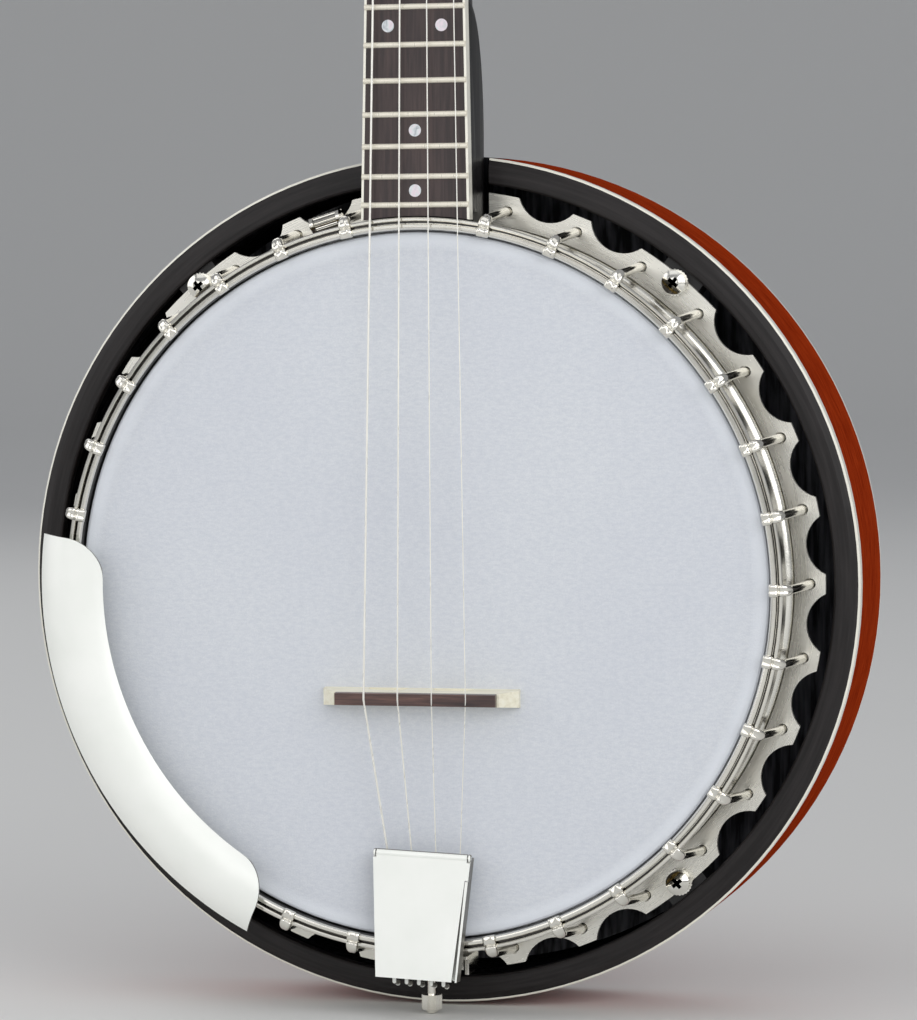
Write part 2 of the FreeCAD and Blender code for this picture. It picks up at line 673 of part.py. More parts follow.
def tuner_post():
    """Post with a waist for the string, and the planets' carrier inside the case."""
    back = PEG_BACK
    outline = [(0, -16), (3.6, -16), (3.9, -15.2), (3.6, -13.4), (POST_RADIUS, -12.2), (2.6, -7),
               (POST_RADIUS, -3.2), (POST_RADIUS, back + 2),
                (6.6, back + 2), (6.6, back + 3.6), (0, back + 3.6)]
    post = revolved(outline)
    hole = rod(0.7, V(-5, -WINDING_OUT - 3, 0), V(5, -WINDING_OUT - 3, 0))
    planets = []
    for i in range(3):
        a = math.radians(120 * i)
        centre = V(PLANET_CIRCLE * math.sin(a), back + 3.6, PLANET_CIRCLE * math.cos(a))
        planets.append(ridged(PLANET_RADIUS, PLANET_RADIUS - 0.5, 10, centre, 5))
    return post.cut(hole).fuse(planets)


def tuner_shaft():
    """Sun gear inside the case, a shaft out of its back, and the screw head that holds the button."""
    back = PEG_BACK
    end = back + CASE_DEPTH
    sun = ridged(SUN_RADIUS, SUN_RADIUS - 0.5, 9, V(0, back + 3.9, 0), 5)
    shaft = rod(2.0, V(0, back + 8.9, 0), V(0, end + 13, 0))
    collar = rod(4.0, V(0, end + 0.4, 0), V(0, end + 1.8, 0))
    head = rod(2.6, V(0, end + 13, 0), V(0, end + 14.2, 0))
    slot = block(-3, 3, end + 13.5, end + 15, -0.35, 0.35)
    return sun.fuse([shaft, collar, head]).cut(slot)


def tuner_button():
    """Flattened oval knob, wider across than it is deep."""
    start = PEG_BACK + CASE_DEPTH + 1.8
    depth = 11.2
    waist = Part.makeCylinder(4.4, 3, V(0, start, 0), Y_AXIS)
    knob = revolved([(0, 2), (7.5, 2), (10, 3.6), (10.6, 6.2), (9.6, 9.2), (7.0, depth), (0, depth)])
    knob = knob.translated(V(0, start, 0)).common(block(-11, 11, start, start + depth, -6.2, 6.2))
    return waist.fuse(knob).cut(rod(2.0, V(0, start - 1, 0), V(0, start + depth + 1, 0)))


def all_pegs(shape):
    return Part.makeCompound([peg(shape, i) for i in range(4)])


# ---------------------------------------------------------------- strings
def across(number, spacing):
    """Sideways place of a string, the first on the right."""
    return (1.5 - number) * spacing


def string_points(number):
    radius = STRING_RADII[number]
    x, z = PEG_PLACES[number]
    inside = math.copysign(POST_RADIUS + radius + 0.3, x)
    post = HEADSTOCK.multVec(V(x - inside, FACE_Y - WINDING_OUT, NUT_Z + z))
    nut = NECK.multVec(V(across(number, NUT_SPACING), BOARD_Y - 1.2, NUT_Z + 0.8))
    bridge = V(BRIDGE_CENTRE_X + across(number, BRIDGE_SPACING), HEAD_Y - BRIDGE_HEIGHT, BRIDGE_Z)
    bar = TAIL.multVec(V(across(number, BAR_SPACING), 1.0, TAIL_FRONT_Z))
    place = (2, 1, -1, -2)[number]
    end = TAIL.multVec(V(place * HOOK_SPACING, 1.0, TAIL_REAR_Z + 0.8))
    return [post, nut, bridge, bar, end]


def string_path(number, extra):
    """Straight runs joined by balls, from the post to the tailpiece's hook."""
    radius = STRING_RADII[number] + extra
    points = string_points(number)
    runs = [rod(radius, a, b) for a, b in zip(points, points[1:])]
    balls = [Part.makeSphere(radius, p) for p in points[1:-1]]
    return runs[0].fuse(runs[1:] + balls)


# ---------------------------------------------------------------- bridge
def bridge_wedge():
    """The bridge's outline from its end, thick at the feet and thinner at the top."""
    top = HEAD_Y - BRIDGE_HEIGHT
    points = [V(-60, HEAD_Y, BRIDGE_Z - 3.7), V(-60, HEAD_Y, BRIDGE_Z + 3.7),
              V(-60, top, BRIDGE_Z + 2.4), V(-60, top, BRIDGE_Z - 2.4)]
    return polygon(points).extrude(V(120, 0, 0))


def bridge_base():
    seat = HEAD_Y - BRIDGE_HEIGHT + CAP_HEIGHT
    low = BRIDGE_Z - 5
    points = [(-BRIDGE_HALF, HEAD_Y), (-BRIDGE_HALF, HEAD_Y - 3), (-CAP_HALF - 1.0, seat),
              (CAP_HALF + 1.0, seat), (BRIDGE_HALF, HEAD_Y - 3), (BRIDGE_HALF, HEAD_Y)]
    body = polygon([V(BRIDGE_CENTRE_X + x, y, low) for x, y in points]).extrude(V(0, 0, 10))
    windows = []
    for side in (-1, 1):
        middle = BRIDGE_CENTRE_X + side * BRIDGE_WINDOW_X
        left = middle - BRIDGE_WINDOW_HALF
        right = middle + BRIDGE_WINDOW_HALF
        windows.append(block(left, right, HEAD_Y - 2.5, HEAD_Y - 0.6, low, low + 10))
        arch = Part.makeCylinder(BRIDGE_WINDOW_HALF, 10, V(0, 0, 0), Z_AXIS)
        arch = arch.common(block(-20, 20, -20, 1.9 / 0.42, -1, 11))
        squeeze = FreeCAD.Matrix()
        squeeze.scale(1, 0.42, 1)
        arch = arch.transformGeometry(squeeze).translated(V(middle, HEAD_Y - 2.5, low))
        windows.append(arch)
    return body.cut(windows).common(bridge_wedge())


def bridge_cap():
    top = HEAD_Y - BRIDGE_HEIGHT
    cap = block(BRIDGE_CENTRE_X - CAP_HALF, BRIDGE_CENTRE_X + CAP_HALF, top, top + CAP_HEIGHT,
                BRIDGE_Z - 5, BRIDGE_Z + 5)
    return cap.common(bridge_wedge()).cut([string_path(i, 0.03) for i in range(4)])


# ---------------------------------------------------------------- tailpiece


def tail_half(z):
    share = (TAIL_FRONT_Z - z) / (TAIL_FRONT_Z - TAIL_REAR_Z)
    return TAIL_HALF_FRONT + share * (TAIL_HALF_REAR - TAIL_HALF_FRONT)


def tail_outline(inset, front, rear, y):
    a = TAIL_HALF_FRONT - inset
    b = TAIL_HALF_REAR - inset
    return polygon([V(-a, y, front), V(a, y, front), V(b, y, rear), V(-b, y, rear)])


def tailpiece_base():
    """A tray under the cover, with ears for the hinge pin and five string hooks at its rear."""
    height = TAIL_BASE_Y + 2.9
    front = TAIL_FRONT_Z
    tray = tail_outline(0, front, TAIL_REAR_Z, TAIL_BASE_Y - height).extrude(V(0, height, 0))
    hollow = tail_outline(SHEET, front + 5, TAIL_REAR_Z - 5, TAIL_BASE_Y - height - 1)
    tray = tray.cut(hollow.extrude(V(0, height, 0)))
    half = TAIL_HALF_FRONT
    under = COVER_TOP + COVER_THICK + 0.1
    tray = tray.cut([block(-half - 1, 0, -10, under, TAIL_REAR_Z - 1, front + 1),
                     block(-0.1, half + 1, -10, under, front - SLIT_START - 0.3, front + 1)])
    ears = []
    for sign in (-1, 1):
        outer = V(sign * half, BAR_Y, front)
        inner = V(sign * (half - SHEET), BAR_Y, front)
        ear = rod(BAR_RADIUS, inner, outer)
        rounded = max(ear.Edges, key=lambda e: sign * e.CenterOfMass.x)
        ears.append(ear.makeFillet(0.7, [rounded]))
    tray = tray.fuse(ears).cut(rod(PIN_RADIUS, V(-30, BAR_Y, front), V(30, BAR_Y, front)))
    hooks = []
    for i in range(-2, 3):
        root = V(i * HOOK_SPACING, TAIL_BASE_Y - 1.0, TAIL_REAR_Z + 1)
        elbow = V(i * HOOK_SPACING, TAIL_BASE_Y - 0.4, TAIL_REAR_Z - 2.0)
        tip = V(i * HOOK_SPACING, TAIL_BASE_Y + 5.4, TAIL_REAR_Z - 3.2)
        hooks += [rod(0.9, root, elbow), Part.makeSphere(0.9, elbow)]
        hooks += [rod(0.9, elbow, tip), Part.makeSphere(1.15, tip)]
    tray = placed(tray.fuse(hooks), TAIL)
    return tray.cut([string_path(i, 0.05) for i in range(4)])


def tailpiece_cover():
    """Plate over the tray, rolled round the pin in front, with a lip at the rear and a slit at its right."""
    narrow = TAIL_HALF_FRONT - SHEET - 0.5
    behind_ears = TAIL_FRONT_Z - EAR_DEPTH
    slit = TAIL_FRONT_Z - SLIT_START
    places = [(-narrow, TAIL_FRONT_Z), (narrow, TAIL_FRONT_Z), (narrow, behind_ears),
              (tail_half(behind_ears), behind_ears), (tail_half(slit), slit),
              (tail_half(slit) - SLIT_INSET / 2 - 0.3, slit), (TAIL_HALF_REAR - SLIT_INSET, TAIL_REAR_Z),
              (-TAIL_HALF_REAR, TAIL_REAR_Z), (-tail_half(behind_ears), behind_ears),
              (-narrow, behind_ears)]
    plate = polygon([V(x, COVER_TOP, z) for x, z in places]).extrude(V(0, COVER_THICK, 0))
    lip = block(-TAIL_HALF_REAR + SHEET + 0.4, TAIL_HALF_REAR - SLIT_INSET, COVER_TOP, COVER_TOP + 2.2,
                TAIL_REAR_Z, TAIL_REAR_Z + COVER_THICK)
    barrel = rod(BAR_RADIUS, V(-narrow, BAR_Y, TAIL_FRONT_Z), V(narrow, BAR_Y, TAIL_FRONT_Z))
    bore = rod(PIN_RADIUS + CLEAR, V(-narrow, BAR_Y, TAIL_FRONT_Z), V(narrow, BAR_Y, TAIL_FRONT_Z))
    return placed(plate.fuse([lip, barrel]).cut(bore), TAIL)


def tailpiece_hinge_pin():
    half = TAIL_HALF_FRONT
    return placed(rod(PIN_RADIUS, V(-half, BAR_Y, TAIL_FRONT_Z), V(half, BAR_Y, TAIL_FRONT_Z)), TAIL)


def tailpiece_bracket():
    """A plate outside the hoop, with a foot that the tailpiece bolt goes through."""
    inner = -HOOP_OUTER - 0.5
    wall = block(-19, 19, 1.3, 29, inner - 1.2, inner)
    foot = block(-11, 11, 27.4, 29, -158, inner)
    sides = [block(x, x + 1.6, 4, 20, -156, inner) for x in (-19, 17.4)]
    corner = block(-30, 30, 20, 40, inner - 2, inner + 1).cut(block(-11, 11, 19, 41, inner - 3, inner + 2))
    bracket = wall.fuse([foot] + sides).cut(corner)
    bracket = bracket.cut([rod(1.75, V(0, ADJUSTER_Y, -160), V(0, ADJUSTER_Y, -140)),
                           rod(2.3, V(0, 20, -HOOK_CIRCLE), V(0, 30, -HOOK_CIRCLE))])
    clear = tail_outline(-5, TAIL_FRONT_Z, TAIL_REAR_Z - 9, -20).extrude(V(0, 20 + TAIL_BASE_Y, 0))
    clear = placed(clear, TAIL)
    return bracket.cut(clear).removeSplitter()


def tailpiece_bolt():
    """Hexagon-headed bolt through the bracket's foot and the flange, with its nut."""
    head = hexagon(6.2, V(0, 24, -HOOK_CIRCLE), 3.4)
    shank = rod(HOOK_RADIUS, V(0, 27.4, -HOOK_CIRCLE), V(0, FLANGE_BACK + 8, -HOOK_CIRCLE))
    return Part.makeCompound([head.fuse(shank), round_pot(closed_nut(7.4), 180)])


def tailpiece_screw():
    """Adjusting screw that bears on the rim, with a domed end outside its nut."""
    start = V(0, ADJUSTER_Y, -RIM_OUTER - 0.4)
    end = V(0, ADJUSTER_Y, -172.6)
    dome = Part.makeSphere(3.4, end + V(0, 0, 1.4)).common(rod(3.4, end, end - V(0, 0, 5)))
    return rod(1.75, start, end).fuse(dome)


def tailpiece_nut():
    nut = laid_down(ridged(4.15, 3.85, 26, V(0, 0, 0), 5.9)).translated(V(0, ADJUSTER_Y, -172.6))
    return nut.cut(rod(1.75, V(0, ADJUSTER_Y, -175), V(0, ADJUSTER_Y, -160)))


# ---------------------------------------------------------------- armrest and strap bracket
def armrest_arc(inner, crown, outer):
    return Part.Arc(V(*inner, 0), V(*crown, 0), V(*outer, 0)).toShape()


def turned_to_armrest(shape):
    """A revolve starts at three o'clock, so it is turned to the armrest's start."""
    return round_pot(shape, ARMREST_START - 90)


def armrest_plate():
    """Arched strip over the hooks, its two inner corners rounded."""
    span = ARMREST_END - ARMREST_START
    top = armrest_arc(*ARMREST_TOP)
    under = armrest_arc(*ARMREST_UNDER)
    ends = [Part.makeLine(V(*ARMREST_TOP[i], 0), V(*ARMREST_UNDER[i], 0)) for i in (0, 2)]
    strip = Part.Face(Part.Wire([top, ends[1], under, ends[0]])).revolve(V(0, 0, 0), Y_AXIS, span)
    plan = revolved([(ARMREST_INNER - 0.5, -20), (165, -20), (165, 10), (ARMREST_INNER - 0.5, 10)], span)
    corners = [e for e in plan.Edges if is_inner_corner(e)]
    plan = plan.makeFillet(ARMREST_CORNER, corners)
    return turned_to_armrest(strip.common(plan))


def is_inner_corner(edge):
    a = edge.Vertexes[0].Point
    b = edge.Vertexes[-1].Point
    along_y = abs(a.x - b.x) < 0.01 and abs(a.z - b.z) < 0.01 and abs(a.y - b.y) > 1
    return along_y and math.hypot(a.x, a.z) < ARMREST_INNER


def armrest_brackets():
    """Two legs between hooks, from the plate's underside down to the flange."""
    leg = block(-4.5, 4.5, -12, FLANGE_FRONT, 148.0, 149.5)
    foot = block(-4.5, 4.5, FLANGE_FRONT - 1.5, FLANGE_FRONT, 148.0, 154.9)
    pad = block(-4.5, 4.5, -12, -4.6, 139, 149.5)
    under = armrest_arc(*ARMREST_UNDER)
    (inner, inner_y), _, (outer, outer_y) = ARMREST_UNDER
    closing = Part.makePolygon([V(outer, outer_y, 0), V(165, outer_y, 0), V(165, -30, 0), V(120, -30, 0),
                                V(120, inner_y, 0), V(inner, inner_y, 0)])
    above = Part.Face(Part.Wire([under] + closing.Edges)).revolve(V(0, 0, 0), Y_AXIS, 360)
    bracket = leg.fuse([foot, pad]).cut(above)
    bracket = bracket.cut(rod(0.9, V(0, 30, 152.4), V(0, 40, 152.4)))
    return Part.makeCompound([round_pot(bracket, a) for a in ARMREST_LEGS])


def strap_bracket():
    """A base on the flange with two round-topped ears."""
    base = block(-6.5, 6.5, 35, FLANGE_FRONT, 149.2, 156.5)
    ears = []
    for x in (-6.5, 5.0):
        ears.append(rod(3.4, V(x, STRAP_PIN_Y, STRAP_PIN_Z), V(x + 1.5, STRAP_PIN_Y, STRAP_PIN_Z)))
        ears.append(block(x, x + 1.5, STRAP_PIN_Y, 35.2, STRAP_PIN_Z - 3.4, STRAP_PIN_Z + 3.0))
    bore = rod(1.6, V(-10, STRAP_PIN_Y, STRAP_PIN_Z), V(10, STRAP_PIN_Y, STRAP_PIN_Z))
    return round_pot(base.fuse(ears).cut(bore), STRAP_ANGLE)


def strap_screw():
    """Knurled roller between the ears, on its own pin."""
    roller = ridged(2.9, 2.6, 18, V(0, -4.8, 0), 9.6)
    roller = placed(roller, turn(V(0, 0, 0), Z_AXIS, 90)).translated(V(0, STRAP_PIN_Y, STRAP_PIN_Z))
    pin = rod(1.6, V(-7.2, STRAP_PIN_Y, STRAP_PIN_Z), V(7.2, STRAP_PIN_Y, STRAP_PIN_Z))
    return round_pot(roller.fuse(pin), STRAP_ANGLE)


# ---------------------------------------------------------------- write every node
def main():
    os.makedirs("parts", exist_ok=True)
    single = [rim, tone_ring, drum_head, flesh_hoop, tension_hoop, bracket_hooks, bracket_nuts, flange_tube,
              flange, resonator_side, resonator_ring, front_binding, rear_binding, resonator_back,
              resonator_lugs, resonator_screws, neck, heel_cap, fingerboard, fingerboard_binding, frets,
              fret_markers, string_nut, headstock_veneer, truss_rod, truss_rod_cover, small_screws,
              hanger_bolts, coordinator_rods, bridge_base, bridge_cap, tailpiece_base, tailpiece_cover,
              tailpiece_hinge_pin, tailpiece_bracket, tailpiece_bolt, tailpiece_screw, tailpiece_nut,
              armrest_plate, armrest_brackets, strap_bracket, strap_screw]
    for make in single:
        save(make.__name__, make())
    save("tuner_cases", all_pegs(tuner_case()))
    save("tuner_bushings", all_pegs(tuner_bushing()))
    for i in range(4):
        save("tuner_post_%d" % (i + 1), peg(tuner_post(), i))
        save("tuner_shaft_%d" % (i + 1), peg(tuner_shaft(), i))
        save("tuner_button_%d" % (i + 1), peg(tuner_button(), i))
        save("string_%d" % (i + 1), string_path(i, 0))


main()
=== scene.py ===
import json
import math

import bmesh
import bpy
from mathutils import Matrix, Vector

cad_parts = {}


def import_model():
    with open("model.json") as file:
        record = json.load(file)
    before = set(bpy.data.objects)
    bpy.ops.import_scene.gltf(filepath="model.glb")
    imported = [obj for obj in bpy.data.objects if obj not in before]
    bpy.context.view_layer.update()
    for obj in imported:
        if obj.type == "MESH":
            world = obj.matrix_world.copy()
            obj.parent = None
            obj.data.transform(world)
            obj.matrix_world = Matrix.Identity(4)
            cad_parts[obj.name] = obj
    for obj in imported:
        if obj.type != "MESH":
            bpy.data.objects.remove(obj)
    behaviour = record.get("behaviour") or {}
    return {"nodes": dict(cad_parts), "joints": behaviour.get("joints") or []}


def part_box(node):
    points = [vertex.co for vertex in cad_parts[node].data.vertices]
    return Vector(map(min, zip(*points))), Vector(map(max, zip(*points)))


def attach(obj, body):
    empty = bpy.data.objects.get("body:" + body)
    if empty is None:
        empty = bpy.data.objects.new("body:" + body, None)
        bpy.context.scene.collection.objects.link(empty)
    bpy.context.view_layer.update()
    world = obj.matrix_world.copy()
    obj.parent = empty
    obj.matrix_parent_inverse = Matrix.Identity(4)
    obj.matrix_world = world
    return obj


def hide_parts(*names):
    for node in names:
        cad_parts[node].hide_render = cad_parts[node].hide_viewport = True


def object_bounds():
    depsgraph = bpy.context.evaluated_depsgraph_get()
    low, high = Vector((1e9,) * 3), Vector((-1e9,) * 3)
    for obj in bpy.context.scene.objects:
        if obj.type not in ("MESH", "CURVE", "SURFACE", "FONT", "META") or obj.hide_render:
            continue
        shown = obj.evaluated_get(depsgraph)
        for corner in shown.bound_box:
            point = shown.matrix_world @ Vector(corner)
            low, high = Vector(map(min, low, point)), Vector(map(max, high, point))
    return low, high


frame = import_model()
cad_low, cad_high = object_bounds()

# ---------------------------------------------------------------- places taken from the frame
HEAD_LOW, HEAD_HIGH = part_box("drum_head")
POT_Z = (HEAD_LOW.z + HEAD_HIGH.z) / 2       # the pot's axis runs along Y at this height
HEAD_FRONT = HEAD_LOW.y
CLAW_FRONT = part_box("bracket_hooks")[0].y
FLOOR_Z = cad_low.z

# ---------------------------------------------------------------- places known from the design, in metres
DIVISIONS = 32                               # places for hooks round the pot
EMPTY_PLACES = (0, 16)                       # at the neck and at the tailpiece
STEP = 360 / DIVISIONS
HOOK_ANGLES = [k * STEP for k in range(DIVISIONS) if k not in EMPTY_PLACES]
SCREW_CIRCLE = 0.1562
SCREW_ANGLE = math.radians(3.5 * STEP)       # the four resonator screws lie symmetrically
SCREW_X = SCREW_CIRCLE * math.sin(SCREW_ANGLE)
SCREW_Z = SCREW_CIRCLE * math.cos(SCREW_ANGLE)
SLOT_REACH = 0.0027                          # the painted shade of the cross slots ends this far from a screw's middle
GRAIN_RADIUS = 0.17                          # arc lengths round the pot are measured here
# these four radii bound the painted shade on the tension hoop
GROOVE_INNER = 0.14538                       # the tension hoop's groove
GROOVE_OUTER = 0.14622
HOOP_INNER_WALL = 0.14285
HOOP_OUTER_WALL = 0.14772
CROWN_START = 0.1345                         # painted highlight: the head grows paler from here outwards
CROWN_END = 0.1385
WALL_SKIN = 0.1722                           # the resonator's wall is mahogany outside this radius
HEEL_HALF = 0.0230                           # but black this near the middle, behind the heel


# ---------------------------------------------------------------- node trees
class Shade:
    """A material under construction: its principled shader and short ways to add nodes."""

    def __init__(self, name, colour, roughness, metallic=0.0, **sockets):
        self.material = bpy.data.materials.new(name)
        self.material.use_nodes = True
        self.tree = self.material.node_tree
        self.shader = self.tree.nodes["Principled BSDF"]
        self.set("Base Color", (*colour, 1.0))
        self.set("Roughness", roughness)
        self.set("Metallic", metallic)
        for key, value in sockets.items():
            self.set(key.replace("_", " "), value)
        self.coordinates = self.node("ShaderNodeTexCoord").outputs["Object"]

    def set(self, socket, value):
        self.shader.inputs[socket].default_value = value

    def node(self, kind, **settings):
        made = self.tree.nodes.new(kind)
        for key, value in settings.items():
            setattr(made, key, value)
        return made

    def link(self, source, target):
        self.tree.links.new(source, target)
        return target

    def to(self, socket, source):
        self.link(source, self.shader.inputs[socket])

    def maths(self, operation, a, b=None):
        made = self.node("ShaderNodeMath", operation=operation)
        for slot, value in enumerate((a, b)):
            if value is None:
                continue
            if isinstance(value, (int, float)):
                made.inputs[slot].default_value = value
            else:
                self.link(value, made.inputs[slot])
        return made.outputs[0]

    def length(self, x, y):
        """Distance of (x, y) from zero."""
        squares = self.maths("ADD", self.maths("MULTIPLY", x, x), self.maths("MULTIPLY", y, y))
        return self.maths("SQRT", squares)

    def facing(self):
        """How far the surface faces back: -1 in front, 1 behind."""
        return self.split(self.node("ShaderNodeTexCoord").outputs["Normal"])[1]

    def stretched(self, scale, source=None):
        """Coordinates multiplied by scale along each axis."""
        made = self.node("ShaderNodeVectorMath", operation="MULTIPLY")
        self.link(source or self.coordinates, made.inputs[0])
        made.inputs[1].default_value = scale
        return made.outputs[0]

    def noise(self, scale, source=None, detail=3.0, roughness=0.5, distortion=0.0):
        made = self.node("ShaderNodeTexNoise")
        self.link(source or self.coordinates, made.inputs["Vector"])
        made.inputs["Scale"].default_value = scale
        made.inputs["Detail"].default_value = detail
        made.inputs["Roughness"].default_value = roughness
        made.inputs["Distortion"].default_value = distortion
        return made.outputs["Fac"]

    def spread(self, value, low, high, out_low, out_high):
        made = self.node("ShaderNodeMapRange")
        self.link(value, made.inputs["Value"])
        made.inputs["From Min"].default_value = low
        made.inputs["From Max"].default_value = high
        made.inputs["To Min"].default_value = out_low
        made.inputs["To Max"].default_value = out_high
        return made.outputs["Result"]

    def ramp(self, value, *stops):
        made = self.node("ShaderNodeValToRGB")
        elements = made.color_ramp.elements
        while len(elements) < len(stops):
            elements.new(0.5)
        for element, (place, colour) in zip(elements, stops):
            element.position = place
            element.color = (*colour, 1.0)
        self.link(value, made.inputs["Fac"])
        return made.outputs["Color"]

    def mixed(self, value, a, b):
        made = self.node("ShaderNodeMix", data_type="RGBA")
        for slot, given in ((0, value), (6, a), (7, b)):     # the node's factor and its two colours
            if isinstance(given, (int, float)):
                made.inputs[slot].default_value = given
            elif isinstance(given, tuple):
                made.inputs[slot].default_value = (*given, 1.0)
            else:
                self.link(given, made.inputs[slot])
        return made.outputs[2]

    def bump(self, height, strength, distance):
        made = self.node("ShaderNodeBump")
        self.link(height, made.inputs["Height"])
        made.inputs["Strength"].default_value = strength
        made.inputs["Distance"].default_value = distance
        self.to("Normal", made.outputs["Normal"])

    def split(self, source=None):
        made = self.node("ShaderNodeSeparateXYZ")
        self.link(source or self.coordinates, made.inputs[0])
        return made.outputs

    def joined(self, x, y, z):
        made = self.node("ShaderNodeCombineXYZ")
        for slot, value in enumerate((x, y, z)):
            self.link(value, made.inputs[slot])
        return made.outputs[0]

    def round_pot(self):
        """Coordinates that follow the pot, (arc length, place along Y, radius), and the radius alone.

        The seam of the arc length lies under the heel.
        """
        x, y, z = self.split()
        down = self.maths("SUBTRACT", POT_Z, z)
        radius = self.length(x, down)
        arc = self.maths("MULTIPLY", self.maths("ARCTAN2", x, down), GRAIN_RADIUS)
        return self.joined(arc, y, radius), radius


def srgb(red, green, blue):
    """A colour given as 0-255 screen values, in linear light."""
    def linear(value):
        value /= 255.0
        return value / 12.92 if value <= 0.04045 else ((value + 0.055) / 1.055) ** 2.4
    return (linear(red), linear(green), linear(blue))


# ---------------------------------------------------------------- materials
def plated(name, colour, roughness, wear=0.04, ripple=0.05):
    """Polished plating: faint ripple, fine wiping marks and slightly uneven gloss."""
    shade = Shade(name, colour, roughness, metallic=1.0)
    cloudy = shade.noise(45, detail=4)
    marks = shade.noise(420, shade.stretched((1.0, 1.0, 6.0)), detail=3)
    gloss = shade.maths("MULTIPLY", cloudy, marks)
    shade.to("Roughness", shade.spread(gloss, 0.12, 0.4, roughness - wear, roughness + wear))
    tint = shade.ramp(cloudy, (0.3, tuple(c * 0.93 for c in colour)), (0.7, colour))
    shade.to("Base Color", tint)
    shade.bump(shade.noise(160, detail=2), ripple, 0.0004)
    return shade.material


def slotted_nickel():
    """Nickel of the four resonator screws, with painted shade inside the cross slots."""
    shade = Shade("slotted_nickel", srgb(236, 233, 224), 0.12, metallic=1.0)
    x, _, z = shade.split()
    across = shade.maths("SUBTRACT", shade.maths("ABSOLUTE", x), SCREW_X)
    along = shade.maths("SUBTRACT", shade.maths("ABSOLUTE", shade.maths("SUBTRACT", z, POT_Z)), SCREW_Z)
    # the slot walls, which face sideways, get a near-black colour: painted shade inside the cross slots
    slot = shade.maths("MULTIPLY", shade.maths("LESS_THAN", shade.length(across, along), SLOT_REACH),
                       shade.maths("GREATER_THAN", shade.facing(), -0.85))
    cloudy = shade.noise(160, detail=3)
    plate = shade.ramp(cloudy, (0.3, srgb(222, 219, 210)), (0.7, srgb(238, 236, 228)))
    shade.to("Base Color", shade.mixed(slot, plate, srgb(22, 21, 21)))
    shade.to("Roughness", shade.spread(cloudy, 0.3, 0.7, 0.1, 0.18))
    shade.bump(cloudy, 0.03, 0.0002)
    return shade.material


def painted_highlight_sheet():
    """Polished sheet drawn as an almost white, barely metallic face, a painted highlight in place of its
    reflections, with a painted dark reflection on its sideways-facing edges.
    """
    shade = Shade("painted_highlight_sheet", srgb(250, 252, 246), 0.34, metallic=0.15)
    cloudy = shade.noise(45, detail=4)
    # the almost white face stands in for the plating's reflections: painted highlight
    face = shade.ramp(cloudy, (0.3, srgb(247, 249, 243)), (0.7, srgb(253, 254, 249)))
    # surfaces that face sideways get a grey colour: painted dark reflection on the edges
    facing = shade.facing()
    painted_edge_reflection = shade.maths("MULTIPLY", shade.maths("GREATER_THAN", facing, -0.5),
                       shade.maths("LESS_THAN", facing, 0.6))
    shade.to("Base Color", shade.mixed(painted_edge_reflection, face, srgb(112, 110, 104)))
    shade.to("Roughness", shade.spread(cloudy, 0.3, 0.7, 0.3, 0.38))
    shade.bump(shade.noise(160, detail=2), 0.01, 0.0004)
    return shade.material


def hoop_plating():
    """Polished plating of the two-ridged hoop, with painted shade in the groove between the ridges and on the
    walls.
    """
    colour = srgb(236, 233, 224)
    shade = Shade("hoop_nickel", colour, 0.14, metallic=1.0)
    ring, radius = shade.round_pot()
    cloudy = shade.noise(45, detail=4)
    brushed = shade.noise(700, shade.stretched((0.05, 1.0, 1.0), ring), detail=2)
    groove = shade.maths("MULTIPLY", shade.maths("GREATER_THAN", radius, GROOVE_INNER),
                         shade.maths("LESS_THAN", radius, GROOVE_OUTER))
    inner = shade.maths("LESS_THAN", radius, HOOP_INNER_WALL)
    outer = shade.maths("GREATER_THAN", radius, HOOP_OUTER_WALL)
    # the groove and the inner wall get a dark colour and the outer wall half of it: painted shade
    painted_shade = shade.maths("MAXIMUM", shade.maths("MAXIMUM", groove, inner), shade.maths("MULTIPLY", outer, 0.5))
    plate = shade.ramp(cloudy, (0.3, srgb(228, 225, 216)), (0.7, colour))
    shade.to("Base Color", shade.mixed(painted_shade, plate, srgb(74, 72, 70)))
    shade.to("Roughness", shade.spread(brushed, 0.3, 0.7, 0.11, 0.19))
    shade.bump(brushed, 0.06, 0.0002)
    return shade.material


def satin_flange():
    """Warm satin plate, brushed round the pot, with a mottled tone."""
    colour = srgb(205, 201, 186)
    shade = Shade("satin_flange", colour, 0.3, metallic=0.7)
    ring, _ = shade.round_pot()
    cloudy = shade.noise(28, detail=5, roughness=0.6)
    brushed = shade.noise(900, shade.stretched((0.06, 1.0, 1.0), ring), detail=2)
    shade.to("Base Color", shade.ramp(cloudy, (0.25, srgb(222, 219, 208)), (0.75, srgb(242, 240, 232))))
    shade.to("Roughness", shade.spread(shade.maths("ADD", cloudy, brushed), 0.7, 1.3, 0.2, 0.34))
    shade.bump(brushed, 0.04, 0.0002)
    return shade.material


